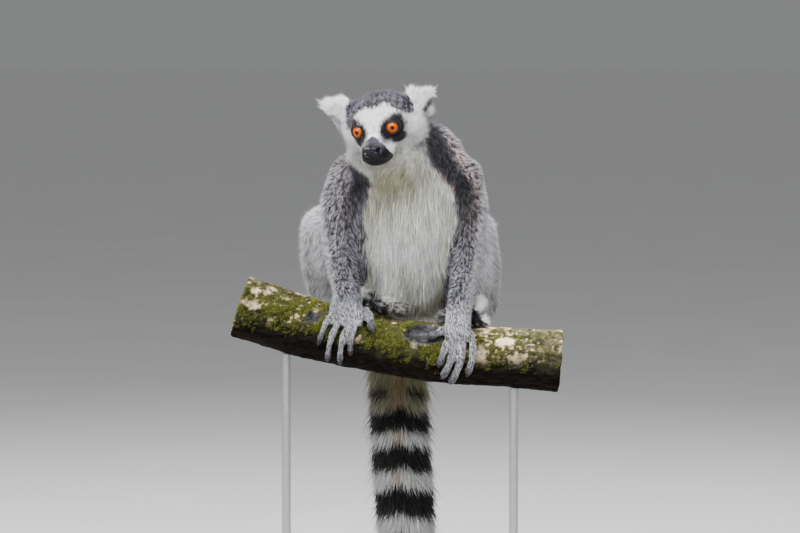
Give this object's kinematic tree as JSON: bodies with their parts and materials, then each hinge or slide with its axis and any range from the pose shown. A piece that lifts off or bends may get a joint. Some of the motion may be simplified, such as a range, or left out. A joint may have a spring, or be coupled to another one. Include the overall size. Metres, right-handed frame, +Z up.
{
  "type": "ring-tailed lemur model",
  "caption": "Still life-size ring-tailed lemur crouched on a short cut branch, ringed tail hanging below, held by a plain display stand with a flat base and rods.",
  "frame": {"origin": "on the floor under the middle of the stand's base", "axes": "+Z up, the animal faces -Y and its own left side is at +X"},
  "size_m": [0.43, 0.31, 0.8646],
  "materials": {
    "grey_coat": "short dense fur, brindled grey",
    "white_coat": "soft dense fur, cream white",
    "dark_skin": "bare black skin, slightly moist on the nose",
    "ringed_coat": "long fur in black and white rings",
    "eye": "polished, orange iris",
    "bark": "weathered bark with moss and lichen, sawn ends",
    "dark_wood": "stained and waxed hardwood",
    "steel": "satin rod"
  },
  "bodies": {
    "root": {"head": "white_coat", "muzzle": "dark_skin", "eye_left": "eye", "eye_right": "eye", "ear_left": "white_coat", "ear_right": "white_coat", "neck": "white_coat", "trunk": "white_coat", "tail_1": "ringed_coat", "tail_2": "ringed_coat", "tail_3": "ringed_coat", "tail_4": "ringed_coat", "upper_arm_left": "grey_coat", "forearm_left": "grey_coat", "hand_left": "grey_coat", "thigh_left": "grey_coat", "shin_left": "grey_coat", "foot_left": "white_coat", "upper_arm_right": "grey_coat", "forearm_right": "grey_coat", "hand_right": "grey_coat", "thigh_right": "grey_coat", "shin_right": "grey_coat", "foot_right": "white_coat", "perch_branch": "bark", "stand_base": "dark_wood", "stand_rod_left": "steel", "stand_rod_right": "steel"}
  },
  "joints": []
}
